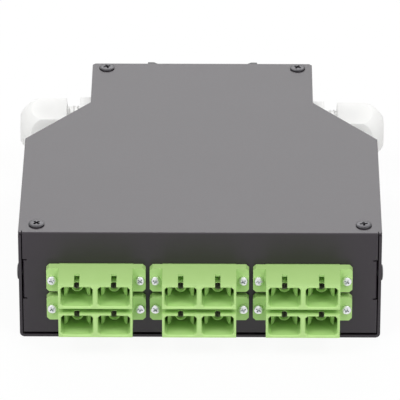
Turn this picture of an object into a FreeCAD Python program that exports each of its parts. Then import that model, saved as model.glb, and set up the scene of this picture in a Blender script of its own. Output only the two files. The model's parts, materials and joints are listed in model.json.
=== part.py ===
import FreeCAD
import Part
import Sketcher
import os
import re

# Wall box for fibre cables that clips to a mounting rail. Lengths are in millimetres.
# X runs to the right, Y from the port panel to the rail, Z up. The origin is the middle of the underside.

doc = FreeCAD.newDocument("fibre_box")
sheet = doc.addObject("Spreadsheet::Sheet", "sizes")

SIZES = {
    # folded steel box
    "box_width": 125.0,
    "neck_width": 80.0,
    "front_depth": 67.5,
    "chamfer_depth": 27.5,
    "neck_depth": 30.0,
    "box_height": 41.5,
    "sheet_thickness": 1.0,
    "tray_bend": 1.7,
    "cover_bend": 1.1,
    "seam_gap": 0.5,
    # cover: top plate and port panel in one folded sheet
    "panel_setback": 0.1,
    "panel_side_gap": 0.35,
    "panel_floor_gap": 0.9,
    "ear_setback": 0.3,
    "ear_corner": 0.5,
    "fold_slit": 0.25,
    "rear_corner_cut": 1.0,
    "side_tab_low": 15.65,
    "side_tab_height": 14.75,
    "side_tab_length": 12.0,
    "relief_length": 1.5,
    "relief_width": 0.5,
    # screws that hold the cover
    "cover_screw_head": 5.5,
    "cover_screw_rim": 0.35,
    "cover_screw_crown": 0.4,
    "cover_screw_shank": 2.9,
    "cover_screw_length": 5.5,
    "screw_clearance": 0.4,
    "thread_clearance": 0.1,
    "front_screw_side": 6.2,
    "front_screw_inset": 5.75,
    "rear_screw_side": 5.25,
    "rear_screw_inset": 3.6,
    "side_screw_inset": 4.6,
    "side_screw_height": 23.6,
    "screw_tab_reach": 10.0,
    "screw_tab_width": 9.0,
    # duplex adapters
    "column_pitch": 35.6,
    "column_shift": -0.2,
    "row_pitch": 11.3,
    "low_row_height": 13.25,
    "adapter_width": 25.4,
    "adapter_height": 9.3,
    "adapter_front": 14.85,
    "adapter_rear": 13.2,
    "flange_width": 34.2,
    "flange_thickness": 3.0,
    "flange_corner": 1.0,
    "flange_screw_spacing": 30.3,
    "cutout_clearance": 0.3,
    "port_pitch": 12.7,
    "port_width": 11.0,
    "port_height": 7.45,
    "port_top_corner": 0.8,
    "port_low_corner": 0.9,
    "port_depth": 7.25,
    "port_lead": 0.35,
    "key_width": 1.85,
    "key_length": 8.0,
    # latch insert, sleeve holder and alignment sleeve of each port
    "insert_clearance": 0.05,
    "insert_plate": 2.0,
    "arm_span": 9.1,
    "arm_gap": 5.7,
    "arm_waist": 4.4,
    "arm_foot": 0.4,
    "arm_slope": 0.7,
    "arm_slope_length": 1.4,
    "holder_rise": 2.6,
    "tube_outer": 3.95,
    "tube_taper": 0.08,
    "tube_mouth": 2.7,
    "tube_lead": 0.35,
    "tube_lead_length": 0.8,
    "tube_bore": 3.3,
    "sleeve_clearance": 0.05,
    "sleeve_bore": 2.5,
    "sleeve_length": 11.4,
    "sleeve_slit": 0.5,
    # screws of the adapters
    "adapter_screw_head": 3.25,
    "adapter_screw_head_height": 1.2,
    "adapter_screw_head_edge": 0.35,
    "adapter_screw_shank": 1.9,
    "adapter_screw_length": 5.0,
    # cable glands
    "gland_inset": 13.0,
    "gland_height": 22.0,
    "right_gland_drop": 1.4,
    "gland_nut_roll": 16.7,
    "gland_hex": 19.0,
    "gland_thread": 15.2,
    "gland_thread_clearance": 0.3,
    "gland_flange": 4.5,
    "gland_thread_reach": 14.0,
    "gland_stub": 8.0,
    "gland_bore": 10.0,
    "gland_claw": 12.2,
    "gland_claw_reach": 18.2,
    "gland_claw_slot": 1.2,
    "gland_nut_gap": 4.7,
    "gland_nut_length": 16.9,
    "gland_nut_dome": 11.2,
    "gland_nut_mouth": 9.6,
    "gland_seal_bore": 8.0,
    "gland_seal_length": 7.5,
    "gland_locknut_hex": 19.0,
    "gland_locknut_width": 3.6,
    # rail clip on the rear wall
    "rail_width": 35.0,
    "rail_lip": 1.0,
    "rail_clearance": 0.3,
    "clip_height": 32.0,
    "clip_level": 20.75,
    "clip_base": 6.3,
    "hook_wall": 2.3,
    "hook_overlap": 1.4,
    "hook_tip": 2.8,
    "tunnel_floor": 1.2,
    "tunnel_width": 17.8,
    "tunnel_thickness": 3.0,
    "tunnel_length": 22.0,
    "latch_clearance": 0.2,
    "latch_window": 6.4,
    "latch_stop": 0.3,
    "latch_tail": 3.0,
    "latch_travel": 4.0,
    "latch_pull": 9.0,
    "latch_pull_width": 14.0,
    "latch_slot": 7.0,
    "latch_slot_width": 3.0,
    "spring_pressed": 6.2,
    "spring_width": 4.6,
    "spring_strip": 0.35,
    "spring_clearance": 0.15,
    "spring_post": 2.0,
    "clip_screw_head": 5.5,
    "clip_screw_head_height": 1.8,
    "clip_screw_shank": 2.9,
    "clip_screw_length": 5.5,
    "clip_screw_near": 11.0,
    "clip_screw_near_rise": 10.0,
    "clip_screw_far": 8.0,
    "clip_screw_far_rise": 12.4,
    # splice tray on its posts
    "splice_width": 96.0,
    "splice_depth": 62.0,
    "splice_front": -40.0,
    "splice_corner": 12.0,
    "splice_rim": 8.0,
    "splice_wall": 1.5,
    "splice_notch": 10.0,
    "splice_post_across": 39.0,
    "splice_post_inset": 9.0,
    "splice_post_width": 6.0,
    "splice_post_foot": 4.2,
    "splice_post_height": 8.0,
    "splice_screw_head": 5.0,
    "splice_screw_head_height": 1.6,
    "splice_screw_shank": 2.5,
    "splice_screw_length": 6.0,
    "spool_outer": 34.0,
    "spool_wall": 1.4,
    "spool_height": 5.0,
    "spool_across": 25.0,
    "comb_width": 28.0,
    "comb_depth": 12.0,
    "comb_height": 5.0,
    "comb_base": 1.6,
    "comb_groove": 2.6,
    "comb_groove_pitch": 4.4,
}

DERIVED = {
    "box_depth": "front_depth + chamfer_depth + neck_depth",
    "front_y": "-box_depth / 2",
    "rear_y": "box_depth / 2",
    "shoulder_y": "front_y + front_depth",
    "neck_y": "shoulder_y + chamfer_depth",
    "wall_height": "box_height - sheet_thickness",
    "chamfer_side": "(box_width - neck_width) / 2",
    "chamfer_length": "sqrt(chamfer_side * chamfer_side + chamfer_depth * chamfer_depth)",
    "half_turn": "(chamfer_length - chamfer_depth) / chamfer_side",
    "half_cos": "1 / sqrt(1 + half_turn * half_turn)",
    "half_sin": "half_turn / sqrt(1 + half_turn * half_turn)",
    "panel_y": "front_y + panel_setback",
    "panel_half": "box_width / 2 - sheet_thickness - panel_side_gap",
    "panel_floor": "sheet_thickness + panel_floor_gap",
    "fold_depth": "cover_bend + fold_slit",
    "side_tab_top": "side_tab_low + side_tab_height",
    "cover_hole": "cover_screw_shank + screw_clearance",
    "cover_thread": "cover_screw_shank + thread_clearance",
    "front_screw_x": "box_width / 2 - front_screw_side",
    "front_screw_y": "front_y + front_screw_inset",
    "rear_screw_x": "neck_width / 2 - rear_screw_side",
    "rear_screw_y": "rear_y - rear_screw_inset",
    "side_screw_y": "front_y + side_screw_inset",
    "adapter_length": "adapter_front + adapter_rear",
    "port_wall": "(adapter_height - port_height) / 2",
    "arm_length": "adapter_length - 2 * port_depth",
    "arm_front": "port_depth - adapter_front",
    "arm_rear": "adapter_rear - port_depth",
    "port_floor": "-port_height / 2 + insert_clearance",
    "insert_middle": "(adapter_rear - adapter_front) / 2",
    "gland_y": "rear_y - gland_inset",
    "gland_nut_start": "gland_flange + gland_nut_gap",
    "gland_nut_bore": "gland_thread + 2 * gland_thread_clearance",
    "gland_nut_depth": "gland_claw_reach - gland_nut_start + gland_thread_clearance",
    "gland_nut_end": "gland_nut_start + gland_nut_length",
    "gland_nut_rim": "gland_nut_mouth / 2 + gland_thread_clearance",
    "dome_middle": "gland_nut_end - sqrt(gland_nut_dome * gland_nut_dome - gland_nut_rim * gland_nut_rim)",
    "rail_half": "rail_width / 2 + rail_clearance",
    "hook_start": "clip_base + rail_lip + rail_clearance",
    "hook_end": "hook_start + hook_tip",
    "base_end": "rail_half - latch_clearance - rail_clearance",
    "latch_half": "tunnel_width / 2 - latch_clearance",
    "latch_low": "tunnel_floor + latch_clearance",
    "latch_top": "tunnel_floor + tunnel_thickness - latch_clearance",
    "spring_length": "spring_pressed + latch_travel",
    "post_start": "spring_length",
    "post_end": "spring_length + spring_post",
    "spring_low": "tunnel_floor + 2 * latch_clearance",
    "spring_top": "tunnel_floor + tunnel_thickness - 2 * latch_clearance",
    "splice_rear": "splice_front + splice_depth",
    "splice_level": "sheet_thickness + splice_post_height",
    "splice_post_front": "splice_front + splice_post_inset",
    "splice_post_rear": "splice_rear - splice_post_inset",
    "splice_middle": "(splice_front + splice_rear) / 2",
}

ROW = 0
for alias, size in SIZES.items():
    ROW += 1
    sheet.set(f"A{ROW}", alias)
    sheet.set(f"B{ROW}", str(size))
    sheet.setAlias(f"B{ROW}", alias)
for alias, formula in DERIVED.items():
    ROW += 1
    sheet.set(f"A{ROW}", alias)
    sheet.set(f"B{ROW}", "=" + formula)
    sheet.setAlias(f"B{ROW}", alias)
doc.recompute()

SIZE_NAME = re.compile(r"\b(" + "|".join(list(SIZES) + list(DERIVED)) + r")\b")
X_AXIS = FreeCAD.Vector(1, 0, 0)
Y_AXIS = FreeCAD.Vector(0, 1, 0)
Z_AXIS = FreeCAD.Vector(0, 0, 1)


def bound(expression):
    """The expression with each size name pointed at its cell."""
    return SIZE_NAME.sub(r"sizes.\1", str(expression))


def number(expression):
    """What the expression comes to now."""
    return float(sheet.evalExpression(bound(expression)))


def new_body(name):
    body = doc.addObject("PartDesign::Body", name)
    body.Label = name
    return body


def new_sketch(body, name, role, level="0"):
    """A sketch parallel to one of the body's own planes, at a level along the remaining axis."""
    sketch = body.newObject("Sketcher::SketchObject", f"{body.Label}_{name}")
    plane = [item for item in body.Origin.OriginFeatures if item.Role == role][0]
    sketch.AttachmentSupport = [(plane, "")]
    sketch.MapMode = "FlatFace"
    lift = f"-({level})" if role == "XZ_Plane" else level
    sketch.AttachmentOffset = FreeCAD.Placement(FreeCAD.Vector(0, 0, number(lift)), FreeCAD.Rotation())
    sketch.setExpression("AttachmentOffset.Base.z", bound(lift))
    return sketch


def pin(sketch, geometry, point, across, up):
    """Holds a point of the sketch at a position given by two expressions."""
    for kind, expression in (("DistanceX", across), ("DistanceY", up)):
        rule = Sketcher.Constraint(kind, -1, 1, geometry, point, number(expression))
        index = sketch.addConstraint(rule)
        sketch.setExpression(f"Constraints[{index}]", bound(expression))


def outline(sketch, corners):
    """A closed outline of straight edges through the corners."""
    first = sketch.GeometryCount
    points = [FreeCAD.Vector(number(across), number(up), 0) for across, up in corners]
    count = len(points)
    for i in range(count):
        sketch.addGeometry(Part.LineSegment(points[i], points[(i + 1) % count]), False)
    for i in range(count):
        sketch.addConstraint(Sketcher.Constraint("Coincident", first + i, 2, first + (i + 1) % count, 1))
    for i in range(count):
        pin(sketch, first + i, 1, corners[i][0], corners[i][1])


def rectangle(sketch, left, low, right, high):
    outline(sketch, [(left, low), (right, low), (right, high), (left, high)])


def circle(sketch, across, up, diameter):
    centre = FreeCAD.Vector(number(across), number(up), 0)
    radius = f"({diameter}) / 2"
    index = sketch.addGeometry(Part.Circle(centre, Z_AXIS, number(radius)), False)
    rule = sketch.addConstraint(Sketcher.Constraint("Radius", index, number(radius)))
    sketch.setExpression(f"Constraints[{rule}]", bound(radius))
    pin(sketch, index, 3, across, up)


def hexagon(sketch, flats):
    """A hexagon about the sketch's origin, given by its width across flats."""
    corner = f"({flats}) / sqrt(3)"
    half = f"({flats}) / sqrt(12)"
    side = f"({flats}) / 2"
    outline(
        sketch,
        [
            (corner, "0"),
            (half, side),
            (f"-{half}", side),
            (f"-{corner}", "0"),
            (f"-{half}", f"-{side}"),
            (half, f"-{side}"),
        ],
    )


def cut_corners(half_width, low, high, low_cut, high_cut):
    """The corners of an upright box outline with its corners cut off."""
    return [
        (f"-({half_width}) + {low_cut}", low),
        (f"{half_width} - {low_cut}", low),
        (half_width, f"{low} + {low_cut}"),
        (half_width, f"{high} - {high_cut}"),
        (f"{half_width} - {high_cut}", high),
        (f"-({half_width}) + {high_cut}", high),
        (f"-({half_width})", f"{high} - {high_cut}"),
        (f"-({half_width})", f"{low} + {low_cut}"),
    ]


def shifted(corners, across, up="0"):
    return [(f"{across} + {x}", f"{up} + {y}") for x, y in corners]


def mirrored(corners):
    """A half outline given from front to rear on the right, closed on the left."""
    return corners + [(f"-({x})", y) for x, y in reversed(corners)]


def swept(body, kind, sketch, length, back):
    feature = body.newObject(f"PartDesign::{kind}", f"{sketch.Name}_{kind.lower()}")
    feature.Profile = sketch
    feature.Length = number(length)
    feature.setExpression("Length", bound(length))
    feature.Reversed = back
    doc.recompute()
    return feature


def pad(body, sketch, length, back=False):
    """Adds material along the sketch's normal, or against it."""
    return swept(body, "Pad", sketch, length, back)


def pocket(body, sketch, length, back=False):
    """Cuts against the sketch's normal, or along it."""
    before = body.Shape.Volume
    feature = swept(body, "Pocket", sketch, length, back)
    if body.Shape.Volume > before - 1e-3:
        raise RuntimeError(f"{feature.Name} cuts nothing")
    return feature


def revolved(body, sketch, axis):
    feature = body.newObject("PartDesign::Revolution", f"{sketch.Name}_turned")
    feature.Profile = sketch
    feature.ReferenceAxis = (sketch, [axis])
    feature.Angle = 360
    doc.recompute()
    return feature


def grooved(body, sketch, axis):
    """Cuts away what the sketch sweeps in a full turn."""
    feature = body.newObject("PartDesign::Groove", f"{sketch.Name}_turned_away")
    feature.Profile = sketch
    feature.ReferenceAxis = (sketch, [axis])
    feature.Angle = 360
    doc.recompute()
    return feature


def edges_of(body, wanted):
    """The names of the edges of a body's present shape that pass a test."""
    return [f"Edge{i}" for i, edge in enumerate(body.Shape.Edges, 1) if wanted(edge)]


def rounded(body, wanted, radius):
    doc.recompute()
    names = edges_of(body, wanted)
    if not names:
        raise RuntimeError(f"{body.Label} has no edge to round")
    base = body.Tip
    feature = body.newObject("PartDesign::Fillet", f"{body.Label}_round")
    feature.Base = (base, names)
    feature.Radius = number(radius)
    feature.setExpression("Radius", bound(radius))
    doc.recompute()
    return feature


def chamfered(body, wanted, size):
    doc.recompute()
    names = edges_of(body, wanted)
    if not names:
        raise RuntimeError(f"{body.Label} has no edge to chamfer")
    base = body.Tip
    feature = body.newObject("PartDesign::Chamfer", f"{body.Label}_chamfer")
    feature.Base = (base, names)
    feature.Size = number(size)
    feature.setExpression("Size", bound(size))
    doc.recompute()
    return feature


def near(a, b):
    return abs(a - b) < 1e-4


def along_x(edge, y, z):
    return all(near(v.Y, y) and near(v.Z, z) for v in edge.Vertexes) and len(edge.Vertexes) == 2


def place(item, across="0", back="0", up="0", turn=FreeCAD.Rotation()):
    """Turns a piece about its own origin and sets it down at a point."""
    point = FreeCAD.Vector(number(across), number(back), number(up))
    item.Placement = FreeCAD.Placement(point, turn)
    item.setExpression("Placement.Base.x", bound(across))
    item.setExpression("Placement.Base.y", bound(back))
    item.setExpression("Placement.Base.z", bound(up))
    return item


def copy_of(body, name):
    link = doc.addObject("App::Link", name)
    link.Label = name
    link.setLink(body)
    return link


def group_of(name, copies):
    group = doc.addObject("Part::Compound", name)
    group.Label = name
    group.Links = copies
    return group


pieces = []
SIDES = ("-", "")

# tray: underside and seven upright walls folded from one sheet, open at the front

BOX_RIGHT = [
    ("box_width / 2", "front_y"),
    ("box_width / 2", "shoulder_y"),
    ("neck_width / 2", "neck_y"),
    ("neck_width / 2", "rear_y"),
]
INNER_RIGHT = [
    ("box_width / 2 - sheet_thickness", "front_y - sheet_thickness"),
    ("box_width / 2 - sheet_thickness", "shoulder_y - sheet_thickness * half_turn"),
    ("neck_width / 2 - sheet_thickness", "neck_y - sheet_thickness * half_turn"),
    ("neck_width / 2 - sheet_thickness", "rear_y - sheet_thickness"),
]


tray = new_body("tray")
tray_outline = new_sketch(tray, "outline", "XY_Plane")
outline(tray_outline, mirrored(BOX_RIGHT))
pad(tray, tray_outline, "wall_height")
tray_inside = new_sketch(tray, "inside", "XY_Plane", "wall_height")
outline(tray_inside, mirrored(INNER_RIGHT))
pocket(tray, tray_inside, "wall_height - sheet_thickness")


def folded_at(level):
    """Long edges at the foot of the walls, leaving out the open front."""
    front = number("front_y")

    def wanted(edge):
        level_edge = all(near(v.Z, level) for v in edge.Vertexes)
        return level_edge and edge.Length > 10 and not all(near(v.Y, front) for v in edge.Vertexes)

    return wanted


rounded(tray, folded_at(0.0), "tray_bend")
rounded(tray, folded_at(number("sheet_thickness")), "tray_bend - sheet_thickness")

# a seam with corner relief where two folded walls meet
tray_seams = new_sketch(tray, "seams", "XY_Plane", "wall_height")
SEAMS = [
    ("box_width / 2", "shoulder_y", "half_cos", "half_sin"),
    ("neck_width / 2", "neck_y", "half_cos", "half_sin"),
    ("neck_width / 2", "rear_y", "sqrt(0.5)", "sqrt(0.5)"),
]
for x, y, out_x, out_y in SEAMS:
    corners = []
    for reach, side in (("1", "-"), ("1", "+"), ("-1.3 * tray_bend", "+"), ("-1.3 * tray_bend", "-")):
        corner_x = f"{x} + {reach} * {out_x} {'+' if side == '-' else '-'} seam_gap / 2 * {out_y}"
        corner_y = f"{y} + {reach} * {out_y} {side} seam_gap / 2 * {out_x}"
        corners.append((corner_x, corner_y))
    outline(tray_seams, corners)
    outline(tray_seams, [(f"-({corner_x})", corner_y) for corner_x, corner_y in reversed(corners)])
pocket(tray, tray_seams, "wall_height")

# tongues under the cover that take its screws
tray_tongues = new_sketch(tray, "tongues", "XY_Plane", "wall_height - sheet_thickness")
for side in SIDES:
    rectangle(
        tray_tongues,
        f"{side}(box_width / 2 - sheet_thickness - screw_tab_reach)",
        "front_screw_y - screw_tab_width / 3",
        f"{side}(box_width / 2 - sheet_thickness / 2)",
        "front_screw_y + screw_tab_width * 2 / 3",
    )
    rectangle(
        tray_tongues,
        f"{side}(rear_screw_x - screw_tab_width / 2)",
        "rear_y - sheet_thickness - screw_tab_reach",
        f"{side}(rear_screw_x + screw_tab_width / 3)",
        "rear_y - sheet_thickness / 2",
    )
pad(tray, tray_tongues, "sheet_thickness")
COVER_SCREWS = [
    ("-front_screw_x", "front_screw_y"),
    ("front_screw_x", "front_screw_y"),
    ("-rear_screw_x", "rear_screw_y"),
    ("rear_screw_x", "rear_screw_y"),
]
tray_threads = new_sketch(tray, "threads", "XY_Plane", "wall_height")
for x, y in COVER_SCREWS:
    circle(tray_threads, x, y, "cover_thread")
pocket(tray, tray_threads, "2 * sheet_thickness")

# holes for glands, side screws, rail clip and splice posts
tray_glands = new_sketch(tray, "gland_holes", "YZ_Plane", "box_width / 2")
circle(tray_glands, "gland_y", "gland_height - right_gland_drop", "gland_thread + 2 * thread_clearance")
pocket(tray, tray_glands, "box_width / 2")
tray_left_gland = new_sketch(tray, "left_gland_hole", "YZ_Plane")
circle(tray_left_gland, "gland_y", "gland_height", "gland_thread + 2 * thread_clearance")
pocket(tray, tray_left_gland, "box_width / 2")
tray_sides = new_sketch(tray, "side_holes", "YZ_Plane", "box_width / 2")
circle(tray_sides, "side_screw_y", "side_screw_height", "cover_hole")
pocket(tray, tray_sides, "box_width")
CLIP_SCREWS = [
    ("-clip_screw_near", "clip_level - clip_screw_near_rise"),
    ("-clip_screw_near", "clip_level + clip_screw_near_rise"),
    ("clip_screw_far", "clip_level - clip_screw_far_rise"),
    ("clip_screw_far", "clip_level + clip_screw_far_rise"),
]
tray_clip = new_sketch(tray, "clip_holes", "XZ_Plane", "rear_y - 2 * sheet_thickness")
for x, z in CLIP_SCREWS:
    circle(tray_clip, x, z, "clip_screw_shank + screw_clearance")
pocket(tray, tray_clip, "3 * sheet_thickness")
SPLICE_POSTS = [
    ("-splice_post_across", "splice_post_front"),
    ("splice_post_across", "splice_post_front"),
    ("-splice_post_across", "splice_post_rear"),
    ("splice_post_across", "splice_post_rear"),
]
tray_posts = new_sketch(tray, "post_holes", "XY_Plane", "2 * sheet_thickness")
for x, y in SPLICE_POSTS:
    circle(tray_posts, x, y, "splice_post_foot + thread_clearance")
pocket(tray, tray_posts, "3 * sheet_thickness")
pieces.append(tray)

# cover: top plate, port panel and two side tabs folded from one sheet

cover = new_body("cover")
cover_top = new_sketch(cover, "top", "XY_Plane", "wall_height")
COVER_RIGHT = [
    ("panel_half", "panel_y"),
    ("panel_half", "panel_y + fold_depth"),
    ("panel_half + fold_slit", "panel_y + fold_depth"),
    ("panel_half + fold_slit", "panel_y + ear_setback"),
    ("box_width / 2 - ear_corner", "panel_y + ear_setback"),
    ("box_width / 2", "panel_y + ear_setback + ear_corner"),
    ("box_width / 2", "shoulder_y"),
    ("neck_width / 2", "neck_y"),
    ("neck_width / 2", "rear_y - rear_corner_cut"),
    ("neck_width / 2 - rear_corner_cut", "rear_y"),
]
outline(cover_top, mirrored(COVER_RIGHT))
pad(cover, cover_top, "sheet_thickness")
cover_panel = new_sketch(cover, "panel", "XZ_Plane", "panel_y")
rectangle(cover_panel, "-panel_half", "panel_floor", "panel_half", "box_height")
pad(cover, cover_panel, "sheet_thickness", back=True)
PANEL_FRONT = number("panel_y")
PANEL_BACK = number("panel_y + sheet_thickness")
rounded(cover, lambda edge: along_x(edge, PANEL_FRONT, number("box_height")), "cover_bend")
rounded(
    cover,
    lambda edge: along_x(edge, PANEL_BACK, number("wall_height")),
    "cover_bend - sheet_thickness",
)
cover_tabs = new_sketch(cover, "tabs", "XZ_Plane", "panel_y")
for side in SIDES:
    rectangle(
        cover_tabs,
        f"{side}(panel_half - sheet_thickness)",
        "side_tab_low",
        f"{side}panel_half",
        "side_tab_top",
    )
pad(cover, cover_tabs, "side_tab_length", back=True)
cover_relief = new_sketch(cover, "relief", "XZ_Plane", "panel_y")
for side in SIDES:
    for low in ("side_tab_low - relief_width", "side_tab_top"):
        rectangle(
            cover_relief,
            f"{side}(panel_half - relief_length)",
            low,
            f"{side}(panel_half + sheet_thickness)",
            f"{low} + relief_width",
        )
pocket(cover, cover_relief, "cover_bend + sheet_thickness")


def tab_fold(inset):
    """The upright edges where a side tab leaves the panel."""
    across = number(f"panel_half - {inset}")
    level = number(f"panel_y + {inset}")

    def wanted(edge):
        upright = all(near(abs(v.X), across) and near(v.Y, level) for v in edge.Vertexes)
        inside = all(
            number("side_tab_low") - 1e-4 < v.Z < number("side_tab_top") + 1e-4 for v in edge.Vertexes
        )
        return upright and inside and len(edge.Vertexes) == 2

    return wanted


rounded(cover, tab_fold("0"), "cover_bend")
rounded(cover, tab_fold("sheet_thickness"), "cover_bend - sheet_thickness")

COLUMNS = ["column_shift - column_pitch", "column_shift", "column_shift + column_pitch"]
ROWS = ["low_row_height + row_pitch", "low_row_height"]
ADAPTERS = [(x, z) for z in ROWS for x in COLUMNS]
cover_ports = new_sketch(cover, "port_cutouts", "XZ_Plane", "panel_y")
for x, z in ADAPTERS:
    rectangle(
        cover_ports,
        f"{x} - adapter_width / 2 - cutout_clearance",
        f"{z} - adapter_height / 2 - cutout_clearance",
        f"{x} + adapter_width / 2 + cutout_clearance",
        f"{z} + adapter_height / 2 + cutout_clearance",
    )
    for side in ("-", "+"):
        circle(
            cover_ports,
            f"{x} {side} flange_screw_spacing / 2",
            z,
            "adapter_screw_shank + thread_clearance",
        )
pocket(cover, cover_ports, "2 * sheet_thickness")
cover_holes = new_sketch(cover, "screw_holes", "XY_Plane", "box_height")
for x, y in COVER_SCREWS:
    circle(cover_holes, x, y, "cover_hole")
pocket(cover, cover_holes, "2 * sheet_thickness")
cover_threads = new_sketch(cover, "tab_threads", "YZ_Plane", "box_width / 2")
circle(cover_threads, "side_screw_y", "side_screw_height", "cover_thread")
pocket(cover, cover_threads, "box_width")
pieces.append(cover)

# cover screws: low round heads on the top plate, and one in each side wall

cover_screw = new_body("cover_screw")
screw_profile = new_sketch(cover_screw, "profile", "XZ_Plane")
outline(
    screw_profile,
    [
        ("0", "-cover_screw_length"),
        ("cover_screw_shank / 2", "-cover_screw_length"),
        ("cover_screw_shank / 2", "0"),
        ("cover_screw_head / 2", "0"),
        ("cover_screw_head / 2", "cover_screw_rim"),
        ("cover_screw_head / 3", "cover_screw_rim + cover_screw_crown * 0.8"),
        ("cover_screw_head / 6", "cover_screw_rim + cover_screw_crown"),
        ("0", "cover_screw_rim + cover_screw_crown"),
    ],
)
revolved(cover_screw, screw_profile, "V_Axis")
top_screws = []
for i, (x, y) in enumerate(COVER_SCREWS, 1):
    top_screws.append(place(copy_of(cover_screw, f"cover_screw_{i}"), x, y, "box_height"))
pieces.append(group_of("cover_screws", top_screws))
side_screws = []
for side, angle in (("-", -90.0), ("", 90.0)):
    screw = copy_of(cover_screw, f"side_screw_{len(side_screws) + 1}")
    turn = FreeCAD.Rotation(Y_AXIS, angle)
    place(screw, f"{side}box_width / 2", "side_screw_y", "side_screw_height", turn)
    side_screws.append(screw)
pieces.append(group_of("side_screws", side_screws))

# duplex adapter housing: flange, two ports open at both ends, keyways in the top wall

housing = new_body("adapter_housing_1")
housing_body = new_sketch(housing, "body", "XZ_Plane", "-adapter_front")
rectangle(
    housing_body, "-adapter_width / 2", "-adapter_height / 2", "adapter_width / 2", "adapter_height / 2"
)
pad(housing, housing_body, "adapter_length", back=True)
housing_flange = new_sketch(housing, "flange", "XZ_Plane", "-flange_thickness")
outline(
    housing_flange,
    cut_corners(
        "flange_width / 2", "-adapter_height / 2", "adapter_height / 2", "flange_corner", "flange_corner"
    ),
)
pad(housing, housing_flange, "flange_thickness", back=True)
PORT_SIDES = ("-port_pitch / 2", "port_pitch / 2")
PORT = cut_corners(
    "port_width / 2", "-port_height / 2", "port_height / 2", "port_low_corner", "port_top_corner"
)
housing_ports = new_sketch(housing, "ports", "XZ_Plane", "-adapter_front")
for x in PORT_SIDES:
    outline(housing_ports, shifted(PORT, x))
pocket(housing, housing_ports, "adapter_length")


def port_mouth(edge):
    """Edges round the open ends of the ports."""
    at_end = any(
        all(near(v.Y, number(end)) for v in edge.Vertexes) for end in ("-adapter_front", "adapter_rear")
    )
    low = number("port_height / 2") + 1e-4
    inside = all(abs(v.Z) < low and abs(v.X) < number("adapter_width / 2") - 1e-4 for v in edge.Vertexes)
    return at_end and inside


chamfered(housing, port_mouth, "port_lead")
housing_keys = new_sketch(housing, "keyways", "XY_Plane", "adapter_height / 2")
for x in PORT_SIDES:
    rectangle(
        housing_keys,
        f"{x} - key_width / 2",
        "-adapter_front - 1",
        f"{x} + key_width / 2",
        "-adapter_front + key_length",
    )
    rectangle(
        housing_keys,
        f"{x} - key_width / 2",
        "adapter_rear - key_length",
        f"{x} + key_width / 2",
        "adapter_rear + 1",
    )
pocket(housing, housing_keys, "1.5 * port_wall")
housing_holes = new_sketch(housing, "screw_holes", "XZ_Plane", "-flange_thickness")
for side in SIDES:
    circle(housing_holes, f"{side}flange_screw_spacing / 2", "0", "adapter_screw_shank + screw_clearance")
pocket(housing, housing_holes, "flange_thickness")

# latch insert of one port: a frame across the middle with latch arms both ways

insert = new_body("adapter_insert_1")
insert_plate = new_sketch(insert, "plate", "XZ_Plane", "insert_middle - insert_plate / 2")
outline(
    insert_plate,
    cut_corners(
        "port_width / 2 - insert_clearance",
        "port_floor",
        "port_height / 2 - insert_clearance",
        "port_low_corner",
        "port_top_corner",
    ),
)
pad(insert, insert_plate, "insert_plate", back=True)
insert_arms = new_sketch(insert, "arms", "XZ_Plane", "arm_front")
for side in SIDES:
    outline(
        insert_arms,
        [
            (f"{side}arm_span / 2", "port_floor"),
            (f"{side}arm_span / 2", "-port_floor"),
            (f"{side}(arm_span / 2 - arm_foot)", "-port_floor"),
            (f"{side}arm_gap / 2", "arm_waist / 2"),
            (f"{side}arm_gap / 2", "-arm_waist / 2"),
            (f"{side}(arm_span / 2 - arm_foot)", "port_floor"),
        ],
    )
pad(insert, insert_arms, "arm_length", back=True)
insert_window = new_sketch(insert, "window", "XZ_Plane", "insert_middle - insert_plate")
rectangle(insert_window, "-arm_gap / 2", "-holder_rise", "arm_gap / 2", "holder_rise")
pocket(insert, insert_window, "2 * insert_plate")
insert_slopes = new_sketch(insert, "slopes", "XY_Plane", "port_height / 2")
for side in SIDES:
    for tip, inward in (("arm_front", "+"), ("arm_rear", "-")):
        outline(
            insert_slopes,
            [
                (f"{side}(arm_gap / 2 - 1)", f"{tip} {'-' if inward == '+' else '+'} 1"),
                (f"{side}(arm_gap / 2 + arm_slope)", f"{tip} {'-' if inward == '+' else '+'} 1"),
                (f"{side}(arm_gap / 2 + arm_slope)", tip),
                (f"{side}arm_gap / 2", f"{tip} {inward} arm_slope_length"),
                (f"{side}(arm_gap / 2 - 1)", f"{tip} {inward} arm_slope_length"),
            ],
        )
pocket(insert, insert_slopes, "port_height")

# sleeve holder of one port: a tube with funnels to its narrow mouths, on a plate that fills the frame

holder = new_body("holder")
holder_tube = new_sketch(holder, "tube", "XY_Plane")
CHAMBER = "sleeve_length / 2 + sleeve_clearance"
outline(
    holder_tube,
    [
        ("tube_mouth / 2", "arm_front + tube_lead_length"),
        ("tube_mouth / 2 + tube_lead", "arm_front"),
        ("tube_outer / 2 - tube_taper", "arm_front"),
        ("tube_outer / 2", "arm_front + tube_taper"),
        ("tube_outer / 2", "arm_rear - tube_taper"),
        ("tube_outer / 2 - tube_taper", "arm_rear"),
        ("tube_mouth / 2 + tube_lead", "arm_rear"),
        ("tube_mouth / 2", "arm_rear - tube_lead_length"),
        ("tube_mouth / 2", f"insert_middle + {CHAMBER}"),
        ("tube_bore / 2", f"insert_middle + {CHAMBER}"),
        ("tube_bore / 2", f"insert_middle - ({CHAMBER})"),
        ("tube_mouth / 2", f"insert_middle - ({CHAMBER})"),
    ],
)
revolved(holder, holder_tube, "V_Axis")
holder_plate = new_sketch(holder, "plate", "XZ_Plane", "insert_middle - insert_plate / 2")
rectangle(
    holder_plate,
    "-arm_gap / 2 + insert_clearance",
    "-holder_rise + insert_clearance",
    "arm_gap / 2 - insert_clearance",
    "holder_rise - insert_clearance",
)
circle(holder_plate, "0", "0", "(tube_outer + tube_bore) / 2")
pad(holder, holder_plate, "insert_plate", back=True)

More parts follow.
